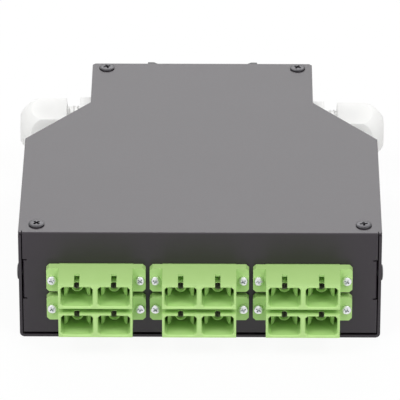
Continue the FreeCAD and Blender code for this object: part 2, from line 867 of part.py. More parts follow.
sleeve = new_body("sleeve")
sleeve_ring = new_sketch(sleeve, "ring", "XZ_Plane", "insert_middle - sleeve_length / 2")
circle(sleeve_ring, "0", "0", "tube_bore - 2 * sleeve_clearance")
circle(sleeve_ring, "0", "0", "sleeve_bore")
pad(sleeve, sleeve_ring, "sleeve_length", back=True)
sleeve_slit = new_sketch(sleeve, "slit", "XZ_Plane", "insert_middle - sleeve_length / 2")
rectangle(sleeve_slit, "-sleeve_slit / 2", "0", "sleeve_slit / 2", "tube_bore")
pocket(sleeve, sleeve_slit, "sleeve_length")

adapter_screw = new_body("adapter_screw")
adapter_profile = new_sketch(adapter_screw, "profile", "XY_Plane")
outline(
    adapter_profile,
    [
        ("0", "-adapter_screw_head_height"),
        ("adapter_screw_head / 2 - adapter_screw_head_edge", "-adapter_screw_head_height"),
        ("adapter_screw_head / 2", "-adapter_screw_head_height + adapter_screw_head_edge"),
        ("adapter_screw_head / 2", "0"),
        ("adapter_screw_shank / 2", "0"),
        ("adapter_screw_shank / 2", "adapter_screw_length"),
        ("0", "adapter_screw_length"),
    ],
)
revolved(adapter_screw, adapter_profile, "V_Axis")

sleeves = []
holders = []
adapter_screws = []
inserts = []
for i, (x, z) in enumerate(ADAPTERS, 1):
    shell = housing if i == 1 else copy_of(housing, f"adapter_housing_{i}")
    pieces.append(place(shell, x, "panel_y", z))
    for port in PORT_SIDES:
        count = len(inserts) + 1
        latch = insert if count == 1 else copy_of(insert, f"adapter_insert_{count}")
        inserts.append(place(latch, f"{x} + {port}", "panel_y", z))
        holders.append(place(copy_of(holder, f"holder_{count}"), f"{x} + {port}", "panel_y", z))
        sleeves.append(place(copy_of(sleeve, f"sleeve_{count}"), f"{x} + {port}", "panel_y", z))
    for side in ("-", "+"):
        screw = copy_of(adapter_screw, f"adapter_screw_{len(adapter_screws) + 1}")
        place(screw, f"{x} {side} flange_screw_spacing / 2", "panel_y - flange_thickness", z)
        adapter_screws.append(screw)
pieces.extend(inserts)
pieces.append(group_of("sleeve_holders", holders))
pieces.append(group_of("alignment_sleeves", sleeves))
pieces.append(group_of("adapter_screws", adapter_screws))

# cable gland along +X from the outer face of the wall: body, cap nut, seal and locknut

gland_body = new_body("gland_body_right")
gland_profile = new_sketch(gland_body, "profile", "XY_Plane")
outline(
    gland_profile,
    [
        ("-gland_stub - sheet_thickness", "gland_bore / 2"),
        ("gland_claw_reach", "gland_bore / 2"),
        ("gland_claw_reach", "gland_claw / 2"),
        ("gland_thread_reach", "gland_claw / 2"),
        ("gland_thread_reach", "gland_thread / 2"),
        ("-gland_stub - sheet_thickness", "gland_thread / 2"),
    ],
)
revolved(gland_body, gland_profile, "H_Axis")
gland_flange = new_sketch(gland_body, "flange", "YZ_Plane")
hexagon(gland_flange, "gland_hex")
circle(gland_flange, "0", "0", "(gland_thread + gland_bore) / 2")
pad(gland_body, gland_flange, "gland_flange")
claw_slots = new_sketch(gland_body, "claw_slots", "YZ_Plane", "gland_claw_reach")
rectangle(claw_slots, "-gland_claw", "-gland_claw_slot / 2", "gland_claw", "gland_claw_slot / 2")
pocket(gland_body, claw_slots, "gland_claw_reach - gland_thread_reach")
claw_gaps = new_sketch(gland_body, "claw_gaps", "YZ_Plane", "gland_claw_reach")
rectangle(claw_gaps, "-gland_claw_slot / 2", "-gland_claw", "gland_claw_slot / 2", "gland_claw")
pocket(gland_body, claw_gaps, "gland_claw_reach - gland_thread_reach")

gland_nut = new_body("gland_cap_nut_right")
nut_hex = new_sketch(gland_nut, "hex", "YZ_Plane", "gland_nut_start")
hexagon(nut_hex, "gland_hex")
pad(gland_nut, nut_hex, "gland_nut_length")
nut_dome = new_sketch(gland_nut, "dome", "XY_Plane")
DOME_TOP = ("dome_middle", "gland_nut_dome")
DOME_END = ("gland_nut_end", "gland_nut_rim")
DOME_LINES = [DOME_END, ("gland_nut_end + 1", "gland_nut_rim"), ("gland_nut_end + 1", "gland_hex"),
              ("dome_middle", "gland_hex"), DOME_TOP]
points = [FreeCAD.Vector(number(x), number(y), 0) for x, y in DOME_LINES]
for i in range(4):
    nut_dome.addGeometry(Part.LineSegment(points[i], points[i + 1]), False)
for i in range(4):
    pin(nut_dome, i, 1, *DOME_LINES[i])
for i in range(3):
    nut_dome.addConstraint(Sketcher.Constraint("Coincident", i, 2, i + 1, 1))
pin(nut_dome, 3, 2, *DOME_TOP)
dome_circle = Part.Circle(FreeCAD.Vector(number("dome_middle"), 0, 0), Z_AXIS, number("gland_nut_dome"))
dome_angles = [dome_circle.parameter(points[0]), dome_circle.parameter(points[4])]
dome_arc = nut_dome.addGeometry(Part.ArcOfCircle(dome_circle, *dome_angles), False)
nut_dome.addConstraint(Sketcher.Constraint("Coincident", dome_arc, 1, 0, 1))
nut_dome.addConstraint(Sketcher.Constraint("Coincident", dome_arc, 2, 3, 2))
nut_dome.addConstraint(Sketcher.Constraint("PointOnObject", dome_arc, 3, -1))
grooved(gland_nut, nut_dome, "H_Axis")
nut_bore = new_sketch(gland_nut, "bore", "YZ_Plane", "gland_nut_start")
circle(nut_bore, "0", "0", "gland_nut_bore")
pocket(gland_nut, nut_bore, "gland_nut_depth", back=True)
nut_mouth = new_sketch(gland_nut, "mouth", "YZ_Plane", "gland_nut_start")
circle(nut_mouth, "0", "0", "gland_nut_mouth")
pocket(gland_nut, nut_mouth, "gland_nut_end", back=True)

gland_seal = new_body("gland_seal_right")
seal_ring = new_sketch(gland_seal, "ring", "YZ_Plane", "gland_claw_reach - gland_seal_length")
circle(seal_ring, "0", "0", "gland_bore - thread_clearance")
circle(seal_ring, "0", "0", "gland_seal_bore")
pad(gland_seal, seal_ring, "gland_seal_length")

locknut = new_body("locknut")
locknut_hex = new_sketch(locknut, "hex", "YZ_Plane", "-sheet_thickness - gland_locknut_width")
hexagon(locknut_hex, "gland_locknut_hex")
circle(locknut_hex, "0", "0", "gland_thread + thread_clearance")
pad(locknut, locknut_hex, "gland_locknut_width")

HALF_TURN = FreeCAD.Rotation(Z_AXIS, 180.0)
NUT_ROLL = FreeCAD.Rotation(X_AXIS, number("gland_nut_roll"))
LEFT_GLAND = ("-neck_width / 2", "gland_y", "gland_height")
RIGHT_GLAND = ("neck_width / 2", "gland_y", "gland_height - right_gland_drop")
GLAND_PIECES = [
    (gland_body, "gland_body_left", FreeCAD.Rotation()),
    (gland_nut, "gland_cap_nut_left", NUT_ROLL),
    (gland_seal, "gland_seal_left", FreeCAD.Rotation()),
]
for body, left_name, roll in GLAND_PIECES:
    pieces.append(place(body, *RIGHT_GLAND, roll))
    pieces.append(place(copy_of(body, left_name), *LEFT_GLAND, roll * HALF_TURN))
left_locknut = place(copy_of(locknut, "locknut_left"), *LEFT_GLAND, HALF_TURN)
right_locknut = place(copy_of(locknut, "locknut_right"), *RIGHT_GLAND)
pieces.append(group_of("gland_locknuts", [left_locknut, right_locknut]))

# rail clip on the rear wall: base with a fixed hook, sprung latch with the other hook

clip = new_body("clip_base")
clip_profile = new_sketch(clip, "profile", "XY_Plane", "-clip_height / 2")
outline(
    clip_profile,
    [
        ("-rail_half - hook_wall", "0"),
        ("base_end", "0"),
        ("base_end", "clip_base"),
        ("-rail_half", "clip_base"),
        ("-rail_half", "hook_start"),
        ("-rail_half + rail_clearance + hook_overlap", "hook_start"),
        ("-rail_half + rail_clearance + hook_overlap", "hook_start + hook_tip / 2"),
        ("-rail_half", "hook_end"),
        ("-rail_half - hook_wall", "hook_end"),
    ],
)
pad(clip, clip_profile, "clip_height")
clip_tunnel = new_sketch(clip, "tunnel", "YZ_Plane", "base_end")
rectangle(
    clip_tunnel, "tunnel_floor", "-tunnel_width / 2", "tunnel_floor + tunnel_thickness", "tunnel_width / 2"
)
pocket(clip, clip_tunnel, "tunnel_length")
clip_post = new_sketch(clip, "post", "XY_Plane", "-spring_width / 2")
rectangle(
    clip_post, "post_start", "tunnel_floor / 2", "post_end", "tunnel_floor * 1.5 + tunnel_thickness"
)
pad(clip, clip_post, "spring_width")
clip_pilots = new_sketch(clip, "pilots", "XZ_Plane")
for x, z in CLIP_SCREWS:
    circle(clip_pilots, x, f"{z} - clip_level", "clip_screw_shank + thread_clearance")
pocket(clip, clip_pilots, "clip_screw_length - sheet_thickness + 2 * thread_clearance")
pieces.append(place(clip, "0", "rear_y", "clip_level"))

latch = new_body("clip_latch")
latch_plate = new_sketch(latch, "plate", "XZ_Plane", "latch_low")
rectangle(latch_plate, "-latch_tail", "-latch_half", "rail_half + hook_wall / 2", "latch_half")
rectangle(latch_plate, "0", "-latch_window / 2", "post_end + latch_stop", "latch_window / 2")
pad(latch, latch_plate, "latch_top - latch_low", back=True)
latch_hook = new_sketch(latch, "hook", "XY_Plane", "-clip_height / 2")
outline(
    latch_hook,
    [
        ("rail_half", "latch_low"),
        ("rail_half + hook_wall", "latch_low"),
        ("rail_half + hook_wall", "hook_end"),
        ("rail_half", "hook_end"),
        ("rail_half - rail_clearance - hook_overlap", "hook_start + hook_tip / 2"),
        ("rail_half - rail_clearance - hook_overlap", "hook_start"),
        ("rail_half", "hook_start"),
    ],
)
pad(latch, latch_hook, "clip_height")
latch_pull = new_sketch(latch, "pull", "XZ_Plane", "latch_low")
PULL_START = "rail_half + hook_wall"
rectangle(
    latch_pull,
    f"{PULL_START} / 1.05",
    "-latch_pull_width / 2",
    f"{PULL_START} + latch_pull",
    "latch_pull_width / 2",
)
pad(latch, latch_pull, "latch_top - latch_low", back=True)
latch_slot = new_sketch(latch, "pull_slot", "XZ_Plane", "latch_low")
rectangle(
    latch_slot,
    f"{PULL_START} + latch_pull - 2 * latch_slot_width",
    "-latch_slot / 2",
    f"{PULL_START} + latch_pull - latch_slot_width",
    "latch_slot / 2",
)
pocket(latch, latch_slot, "latch_top - latch_low")
pieces.append(place(latch, "0", "rear_y", "clip_level"))

# flat spring folded to and fro between the latch and the post of the base
spring = new_body("clip_spring")
spring_strip = new_sketch(spring, "strip", "XZ_Plane", "spring_low")
FOLDS = 6
SPRING_END = "spring_clearance + spring_strip"
one_side = []
other_side = []
for fold in range(FOLDS + 1):
    share = fold / FOLDS
    rise = "" if fold % 2 else "-"
    middle = f"{SPRING_END} + {share} * (spring_length - 2 * ({SPRING_END}))"
    reach = f"{rise}(spring_width / 2 - spring_strip)"
    one_side.append((f"{middle} - spring_strip / 2", reach))
    other_side.append((f"{middle} + spring_strip / 2", reach))
outline(spring_strip, one_side + other_side[::-1])
pad(spring, spring_strip, "spring_top - spring_low", back=True)
pieces.append(place(spring, "0", "rear_y", "clip_level"))

clip_screw = new_body("clip_screw")
clip_screw_profile = new_sketch(clip_screw, "profile", "XY_Plane")
outline(
    clip_screw_profile,
    [
        ("0", "-clip_screw_head_height"),
        ("clip_screw_head / 2", "-clip_screw_head_height"),
        ("clip_screw_head / 2", "0"),
        ("clip_screw_shank / 2", "0"),
        ("clip_screw_shank / 2", "clip_screw_length"),
        ("0", "clip_screw_length"),
    ],
)
revolved(clip_screw, clip_screw_profile, "V_Axis")
clip_screws = []
for i, (x, z) in enumerate(CLIP_SCREWS, 1):
    clip_screws.append(place(copy_of(clip_screw, f"clip_screw_{i}"), x, "rear_y - sheet_thickness", z))
pieces.append(group_of("clip_screws", clip_screws))

# splice tray on four posts, with two fibre spools and a comb for the splices

splice = new_body("splice_tray")
splice_outline = new_sketch(splice, "outline", "XY_Plane", "splice_level")
rectangle(splice_outline, "-splice_width / 2", "splice_front", "splice_width / 2", "splice_rear")
pad(splice, splice_outline, "splice_rim")


def upright(edge):
    ends = edge.Vertexes
    return len(ends) == 2 and near(ends[0].X, ends[1].X) and near(ends[0].Y, ends[1].Y)


rounded(splice, upright, "splice_corner")
splice_inside = new_sketch(splice, "inside", "XY_Plane", "splice_level + splice_rim")
INSIDE_X = "splice_width / 2 - splice_wall"
INSIDE_Y = "splice_depth / 2 - splice_wall"
CORNER = "splice_corner * 0.6"
INSIDE = cut_corners(INSIDE_X, f"-({INSIDE_Y})", INSIDE_Y, CORNER, CORNER)
outline(splice_inside, shifted(INSIDE, "0", "splice_middle"))
pocket(splice, splice_inside, "splice_rim - splice_wall")
splice_spools = new_sketch(splice, "spools", "XY_Plane", "splice_level + splice_wall / 2")
for side in SIDES:
    circle(splice_spools, f"{side}spool_across", "splice_middle", "spool_outer")
    circle(splice_spools, f"{side}spool_across", "splice_middle", "spool_outer - 2 * spool_wall")
pad(splice, splice_spools, "spool_height + splice_wall / 2")
splice_gates = new_sketch(splice, "gates", "XY_Plane", "splice_level + splice_rim")
for side in SIDES:
    rectangle(
        splice_gates,
        f"{side}spool_across - splice_notch / 2",
        "splice_front - 1",
        f"{side}spool_across + splice_notch / 2",
        "splice_front + 2 * splice_wall",
    )
    rectangle(
        splice_gates,
        f"{side}spool_across - splice_notch / 2",
        "splice_rear - 2 * splice_wall",
        f"{side}spool_across + splice_notch / 2",
        "splice_rear + 1",
    )
pocket(splice, splice_gates, "splice_rim - splice_wall")
splice_holes = new_sketch(splice, "screw_holes", "XY_Plane", "splice_level + splice_wall")
for x, y in SPLICE_POSTS:
    circle(splice_holes, x, y, "splice_screw_shank + screw_clearance")
pocket(splice, splice_holes, "2 * splice_wall")
pieces.append(splice)

comb = new_body("splice_comb")
comb_block = new_sketch(comb, "block", "YZ_Plane", "-comb_depth / 2")
COMB_TEETH = 6
comb_corners = [("-comb_width / 2", "0"), ("comb_width / 2", "0")]
for tooth in reversed(range(COMB_TEETH)):
    groove = f"({tooth - (COMB_TEETH - 1) / 2}) * comb_groove_pitch"
    top = "comb_height"
    if tooth == COMB_TEETH - 1:
        comb_corners.append(("comb_width / 2", top))
    comb_corners.append((f"{groove} + comb_groove / 2", top))
    comb_corners.append((f"{groove} + comb_groove / 2", "comb_base"))
    comb_corners.append((f"{groove} - comb_groove / 2", "comb_base"))
    comb_corners.append((f"{groove} - comb_groove / 2", top))
comb_corners.append(("-comb_width / 2", "comb_height"))
outline(comb_block, comb_corners)
pad(comb, comb_block, "comb_depth")
pieces.append(place(comb, "0", "splice_middle", "splice_level + splice_wall"))

post = new_body("splice_post")
post_profile = new_sketch(post, "profile", "XZ_Plane")
outline(
    post_profile,
    [
        ("0", "0"),
        ("splice_post_foot / 2", "0"),
        ("splice_post_foot / 2", "sheet_thickness"),
        ("splice_post_width / 2", "sheet_thickness"),
        ("splice_post_width / 2", "splice_level"),
        ("(splice_screw_shank + thread_clearance) / 2", "splice_level"),
        ("(splice_screw_shank + thread_clearance) / 2", "splice_level - splice_screw_length"),
        ("0", "splice_level - splice_screw_length"),
    ],
)
revolved(post, post_profile, "V_Axis")
splice_screw = new_body("splice_screw")
splice_screw_profile = new_sketch(splice_screw, "profile", "XZ_Plane")
outline(
    splice_screw_profile,
    [
        ("0", "splice_wall - splice_screw_length"),
        ("splice_screw_shank / 2", "splice_wall - splice_screw_length"),
        ("splice_screw_shank / 2", "splice_wall"),
        ("splice_screw_head / 2", "splice_wall"),
        ("splice_screw_head / 2", "splice_wall + splice_screw_head_height"),
        ("0", "splice_wall + splice_screw_head_height"),
    ],
)
revolved(splice_screw, splice_screw_profile, "V_Axis")
posts = []
splice_screws = []
for i, (x, y) in enumerate(SPLICE_POSTS, 1):
    posts.append(place(copy_of(post, f"post_{i}"), x, y, "0"))
    splice_screws.append(place(copy_of(splice_screw, f"splice_screw_{i}"), x, y, "splice_level"))
pieces.append(group_of("splice_posts", posts))
pieces.append(group_of("splice_screws", splice_screws))

doc.recompute()
for item in doc.Objects:
    if "Invalid" in item.State or "Error" in item.State:
        raise RuntimeError(f"{item.Name} did not build: {item.State}")
os.makedirs("parts", exist_ok=True)
for piece in pieces:
    shape = Part.getShape(piece)
    if shape.isNull() or not shape.isValid() or not shape.Solids:
        raise RuntimeError(f"{piece.Label} has no valid solid")
    shape.exportStep(f"parts/{piece.Label}.step")
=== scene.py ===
# %% [markdown]
# # A fibre box for a mounting rail
# The CAD model already has every piece at its true size, so this lesson dresses it: it rounds the
# edges that catch light, adds the small forms that were left out of the solids, gives each piece the
# finish of its real material, and sets up the light and the camera of the photograph.
# All lengths below are metres unless a name ends in mm.

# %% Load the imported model
import bpy
import json
import math
from mathutils import Matrix, Vector

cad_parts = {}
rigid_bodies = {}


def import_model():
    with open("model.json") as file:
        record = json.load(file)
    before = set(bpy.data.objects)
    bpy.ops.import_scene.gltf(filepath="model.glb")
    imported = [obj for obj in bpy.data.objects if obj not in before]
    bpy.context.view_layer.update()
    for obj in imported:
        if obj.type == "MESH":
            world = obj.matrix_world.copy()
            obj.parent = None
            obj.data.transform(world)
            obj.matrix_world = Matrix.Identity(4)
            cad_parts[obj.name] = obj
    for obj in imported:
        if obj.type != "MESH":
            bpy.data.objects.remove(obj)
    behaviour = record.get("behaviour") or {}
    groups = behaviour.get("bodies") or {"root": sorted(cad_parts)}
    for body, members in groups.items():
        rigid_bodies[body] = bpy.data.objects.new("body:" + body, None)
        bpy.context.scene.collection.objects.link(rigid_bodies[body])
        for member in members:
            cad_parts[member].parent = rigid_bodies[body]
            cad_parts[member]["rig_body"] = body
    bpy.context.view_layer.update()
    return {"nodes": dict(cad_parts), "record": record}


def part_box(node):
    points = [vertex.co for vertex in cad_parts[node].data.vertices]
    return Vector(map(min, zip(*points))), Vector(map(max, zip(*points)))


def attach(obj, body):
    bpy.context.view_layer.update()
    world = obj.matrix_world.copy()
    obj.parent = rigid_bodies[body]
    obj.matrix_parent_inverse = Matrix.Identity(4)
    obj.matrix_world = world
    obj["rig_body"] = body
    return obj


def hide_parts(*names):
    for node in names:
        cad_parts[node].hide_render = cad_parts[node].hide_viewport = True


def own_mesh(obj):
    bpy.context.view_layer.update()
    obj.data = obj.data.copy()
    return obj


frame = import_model()
MM = 0.001

# %% [markdown]
# ## Camera
# The photograph was taken from far away with a long lens, so the box tapers only a little towards its
# rear. A camera 1.7 m away and a little over 29 degrees up gives the same taper. It stands a hair to the
# right of the middle, which is why the narrow neck drifts to the right in the picture. A camera could be
# placed by eye, but it is quicker to hold one known line still: the front edge of the box, which lies
# some pixels below the middle of the picture.

# %% Camera
FRONT_EDGE = Vector((0.0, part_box("tray")[0].y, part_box("cover")[1].z))
ELEVATION = math.radians(29.3)
AZIMUTH = math.radians(0.39)
DISTANCE = 1670.0 * MM
PICTURE_PIXELS = 400.0
FOCAL_PIXELS = 4869.0
EDGE_BELOW_MIDDLE_PIXELS = 33.2
SENSOR_WIDTH_MM = 36.0
SIGHT_END = 20.0

turn = Matrix.Rotation(AZIMUTH, 3, "Z")
forward = turn @ Vector((0.0, math.cos(ELEVATION), -math.sin(ELEVATION)))
upward = turn @ Vector((0.0, math.sin(ELEVATION), math.cos(ELEVATION)))
edge_drop = DISTANCE * EDGE_BELOW_MIDDLE_PIXELS / FOCAL_PIXELS
camera_data = bpy.data.cameras.new("camera")
camera_data.sensor_fit = "HORIZONTAL"
camera_data.sensor_width = SENSOR_WIDTH_MM
camera_data.lens = FOCAL_PIXELS / PICTURE_PIXELS * SENSOR_WIDTH_MM
camera_data.clip_end = SIGHT_END
camera = bpy.data.objects.new("camera", camera_data)
bpy.context.scene.collection.objects.link(camera)
camera.location = FRONT_EDGE - DISTANCE * forward + edge_drop * upward
camera.rotation_euler = (math.radians(90.0) - ELEVATION, 0.0, AZIMUTH)
bpy.context.scene.camera = camera
print("lens", round(camera_data.lens, 1), "at", [round(value, 4) for value in camera.location])

# %% [markdown]
# ## Finishes
# Each finish is a small node tree named for its real material. Trees could be built by hand in the
# shader editor, but in code each one stays readable and can be made again. One function turns a written
# colour into the linear values that the renderer needs, and one adds a node with its settings and links.
# Patterns read Object coordinates, so a grain of 0.4 mm is a scale of 1000 / 0.4.

# %% Helpers for finishes
# Sockets of the Mix node in its colour mode, by number because other modes use the same names
MIX_SHARE = 0
MIX_A = 6
MIX_B = 7
MIX_RESULT = 2


def linear(colour):
    """A written sRGB colour such as #a0c080 as linear red, green, blue and alpha."""
    channels = [int(colour[i:i + 2], 16) / 255.0 for i in (1, 3, 5)]
    return [c / 12.92 if c <= 0.04045 else ((c + 0.055) / 1.055) ** 2.4 for c in channels] + [1.0]


def per_metre(size_mm):
    """The scale of a pattern whose features are this many millimetres wide."""
    return 1000.0 / size_mm


def add_node(tree, kind, values=None, links=None, **settings):
    """Adds a node, sets its options and socket values and links its inputs."""
    node = tree.nodes.new(kind)
    for name, value in settings.items():
        setattr(node, name, value)
    for socket, value in (values or {}).items():
        node.inputs[socket].default_value = value
    for socket, source in (links or {}).items():
        tree.links.new(source, node.inputs[socket])
    return node


def new_finish(name):
    """An empty material, its tree, and Object coordinates to hang patterns on."""
    material = bpy.data.materials.new(name)
    material.use_nodes = True
    tree = material.node_tree
    tree.nodes.clear()
    place = add_node(tree, "ShaderNodeTexCoord").outputs["Object"]
    return material, tree, place


finish = {}
print("white is", linear("#ffffff"))

# %% [markdown]
# ## Black powder coat
# The sheet steel has a black polyester powder coat. The powder melts and flows out into a fine orange
# peel, so the coat is nearly black when seen straight on and turns grey where it reflects a bright
# backdrop at a low angle. One flat colour would look like paper, so two noises make the skin: the peel
# at 0.9 mm and a finer grit at 0.35 mm, both a little coarser than the real ones so that they show.
# A third, 30 mm wide, drifts the tone.

# %% Black powder coat
PEEL_MM = 0.9
GRIT_MM = 0.35
CLOUD_MM = 30.0
PEEL_HEIGHT_MM = 0.02

finish["coated_steel"], tree, place = new_finish("black_polyester_powder_coat")
peel = add_node(
    tree, "ShaderNodeTexNoise", {"Scale": per_metre(PEEL_MM), "Detail": 2.0}, {"Vector": place}
)
grit = add_node(
    tree, "ShaderNodeTexNoise", {"Scale": per_metre(GRIT_MM), "Detail": 3.0}, {"Vector": place}
)
cloud = add_node(
    tree, "ShaderNodeTexNoise", {"Scale": per_metre(CLOUD_MM), "Detail": 2.0}, {"Vector": place}
)
tone = add_node(
    tree,
    "ShaderNodeMix",
    {MIX_A: linear("#2a242b"), MIX_B: linear("#2f2930")},
    {MIX_SHARE: cloud.outputs["Fac"]},
    data_type="RGBA",
)
gloss = add_node(
    tree, "ShaderNodeMapRange", {"To Min": 0.38, "To Max": 0.48}, {"Value": grit.outputs["Fac"]}
)
skin = add_node(
    tree, "ShaderNodeMath", None, {0: peel.outputs["Fac"], 1: grit.outputs["Fac"]}, operation="ADD"
)
relief = add_node(
    tree,
    "ShaderNodeBump",
    {"Strength": 0.25, "Distance": PEEL_HEIGHT_MM * MM},
    {"Height": skin.outputs["Value"]},
)
shader = add_node(
    tree,
    "ShaderNodeBsdfPrincipled",
    {"IOR": 1.5},
    {
        "Base Color": tone.outputs[MIX_RESULT],
        "Roughness": gloss.outputs["Result"],
        "Normal": relief.outputs["Normal"],
    },
)
add_node(tree, "ShaderNodeOutputMaterial", links={"Surface": shader.outputs["BSDF"]})
print("powder coat:", len(tree.nodes), "nodes")

# %% [markdown]
# ## Moulded plastics
# The adapters are polyester, the glands and the rail clip polyamide and the splice tray ABS. All come
# out of spark-eroded moulds, which leave a matt grain of about a quarter millimetre, and all vary a
# little in tone where the melt flowed and cooled. They differ in colour, gloss and grain, so one loop
# makes them from a table. The grain is drawn as bump and as a small change of roughness. White
# polyamide also lets some light through, which softens its shaded faces.

# %% Moulded plastics
MOULDED = {
    # record slot: material, tone, second tone, roughness, grain and drift of the tone in mm, translucence
    "green_plastic": ("moulded_green_polyester", "#b8dd8d", "#b1d885", 0.42, 0.25, 7.0, 0.0),
    # The latch inserts and sleeve holders are the housing's green plastic, written lighter as painted
    # light for the shaded depth of the ports.
    "green_insert": ("moulded_green_polyester_latch_painted_lighter", "#bfe592", "#b7e088", 0.42, 0.22, 4.0, 0.0),
    "white_nylon": ("moulded_white_polyamide", "#f4f4f2", "#efefed", 0.4, 0.3, 5.0, 0.5),
    "black_nylon": ("moulded_black_polyamide", "#28282a", "#2f2f31", 0.48, 0.3, 4.0, 0.0),
    "grey_plastic": ("moulded_grey_abs", "#b4b7ba", "#adb0b3", 0.45, 0.3, 6.0, 0.0),
}
GRAIN_HEIGHT_MM = 0.012
LIGHT_DEPTH_MM = 5.0

for slot, (name, tone_a, tone_b, roughness, grain_mm, drift_mm, translucence) in MOULDED.items():
    finish[slot], tree, place = new_finish(name)
    drift = add_node(
        tree, "ShaderNodeTexNoise", {"Scale": per_metre(drift_mm), "Detail": 2.0}, {"Vector": place}
    )
    tone = add_node(
        tree,
        "ShaderNodeMix",
        {MIX_A: linear(tone_a), MIX_B: linear(tone_b)},
        {MIX_SHARE: drift.outputs["Fac"]},
        data_type="RGBA",
    )
    grain = add_node(
        tree, "ShaderNodeTexNoise", {"Scale": per_metre(grain_mm), "Detail": 3.0}, {"Vector": place}
    )
    gloss = add_node(
        tree,
        "ShaderNodeMapRange",
        {"To Min": roughness - 0.05, "To Max": roughness + 0.06},
        {"Value": grain.outputs["Fac"]},
    )
    relief = add_node(
        tree,
        "ShaderNodeBump",
        {"Strength": 0.2, "Distance": GRAIN_HEIGHT_MM * MM},
        {"Height": grain.outputs["Fac"]},
    )
    shader = add_node(
        tree,
        "ShaderNodeBsdfPrincipled",
        {
            "IOR": 1.5,
            "Subsurface Weight": translucence,
            "Subsurface Radius": (1.0, 1.0, 1.0),
            "Subsurface Scale": LIGHT_DEPTH_MM * MM,
        },
        {
            "Base Color": tone.outputs[MIX_RESULT],
            "Roughness": gloss.outputs["Result"],
            "Normal": relief.outputs["Normal"],
        },
    )
    add_node(tree, "ShaderNodeOutputMaterial", links={"Surface": shader.outputs["BSDF"]})
print("moulded plastics:", list(MOULDED))

# %% [markdown]
# ## Metals
# The small screws are zinc plated and bright, the lid's screws black zinc, and the spring a tempered
# strip. A plain metal colour would make every head look alike. Plating has faint clouds where the bath
# ran, so the tone and the gloss drift over a millimetre or two above a fine grain. A metal keeps the
# default IOR.

# %% Plated screws and spring steel
PLATED = {
    # record slot: material, tone, second tone, metallic, roughness, cloud in mm, grain in mm
    "plated_steel": ("bright_zinc_plating", "#eff0f2", "#e4e6e9", 1.0, 0.28, 1.2, 0.12),
    "black_screw": ("black_zinc_plating", "#424144", "#4b4a4d", 0.85, 0.36, 1.5, 0.15),
    "spring_steel": ("tempered_spring_steel", "#b9bcc0", "#a9acb1", 1.0, 0.3, 2.0, 0.1),
}
PLATING_HEIGHT_MM = 0.006

for slot, (name, tone_a, tone_b, metallic, roughness, cloud_mm, grain_mm) in PLATED.items():
    finish[slot], tree, place = new_finish(name)
    cloud = add_node(
        tree, "ShaderNodeTexNoise", {"Scale": per_metre(cloud_mm), "Detail": 2.0}, {"Vector": place}
    )
    tone = add_node(
        tree,
        "ShaderNodeMix",
        {MIX_A: linear(tone_a), MIX_B: linear(tone_b)},
        {MIX_SHARE: cloud.outputs["Fac"]},
        data_type="RGBA",
    )
    gloss = add_node(
        tree,
        "ShaderNodeMapRange",
        {"To Min": roughness - 0.06, "To Max": roughness + 0.08},
        {"Value": cloud.outputs["Fac"]},
    )
    grain = add_node(
        tree, "ShaderNodeTexNoise", {"Scale": per_metre(grain_mm), "Detail": 2.0}, {"Vector": place}
    )
    relief = add_node(
        tree,
        "ShaderNodeBump",
        {"Strength": 0.12, "Distance": PLATING_HEIGHT_MM * MM},
        {"Height": grain.outputs["Fac"]},
    )
    shader = add_node(
        tree,
        "ShaderNodeBsdfPrincipled",
        {"Metallic": metallic},
        {
            "Base Color": tone.outputs[MIX_RESULT],
            "Roughness": gloss.outputs["Result"],
            "Normal": relief.outputs["Normal"],
        },
    )
    add_node(tree, "ShaderNodeOutputMaterial", links={"Surface": shader.outputs["BSDF"]})
print("plated metals:", list(PLATED))

# %% [markdown]
# ## Ceramic and rubber
# The alignment sleeves are ground zirconia, white and glossy, but their tone is written a mid warm grey
# as painted shade for the dark bore they sit in. The gland seals are nitrile rubber, nearly black and
# dull, with a bloom of about a millimetre. Both sit deep inside other pieces, so they need no relief: a
# drift of tone and gloss is enough.

# %% Zirconia and nitrile rubber
UNGRAINED = {
    # record slot: material, tone, second tone, least and most roughness, IOR, drift in mm, its detail
    # The white ceramic is darkened here to a mid grey, as painted shade for the inside of the bore.
    "ceramic": ("ground_zirconia_painted_shade", "#b3b0a9", "#a9a69f", 0.14, 0.24, 2.1, 2.0, 2.0),
    "seal_rubber": ("nitrile_rubber", "#1f1f20", "#29292a", 0.62, 0.78, 1.52, 1.0, 3.0),
}
for slot, (name, tone_a, tone_b, least, most, ior, drift_mm, detail) in UNGRAINED.items():
    finish[slot], tree, place = new_finish(name)
    drift = add_node(
        tree, "ShaderNodeTexNoise", {"Scale": per_metre(drift_mm), "Detail": detail}, {"Vector": place}
    )
    tone = add_node(
        tree,
        "ShaderNodeMix",
        {MIX_A: linear(tone_a), MIX_B: linear(tone_b)},
        {MIX_SHARE: drift.outputs["Fac"]},
        data_type="RGBA",
    )
    gloss = add_node(
        tree, "ShaderNodeMapRange", {"To Min": least, "To Max": most}, {"Value": drift.outputs["Fac"]}
    )
    shader = add_node(
        tree,
        "ShaderNodeBsdfPrincipled",
        {"IOR": ior},
        {"Base Color": tone.outputs[MIX_RESULT], "Roughness": gloss.outputs["Result"]},
    )
    add_node(tree, "ShaderNodeOutputMaterial", links={"Surface": shader.outputs["BSDF"]})
print("finishes without grain:", list(UNGRAINED))

# %% [markdown]
# ## A finish for every piece
# The model's record names a finish for each piece. The pieces could be dressed one by one, but a loop
# over the record forgets none, and the copies that are worked below take the finish over with the mesh.

# %% Every CAD piece gets the finish of its record slot
slot_of = {part["node"]: part["material_slot"] for part in frame["record"]["subparts"]}
for node, piece in frame["nodes"].items():
    piece.data.materials.clear()
    piece.data.materials.append(finish[slot_of[node]])
print("finishes:", len(finish), "on", len(slot_of), "pieces")

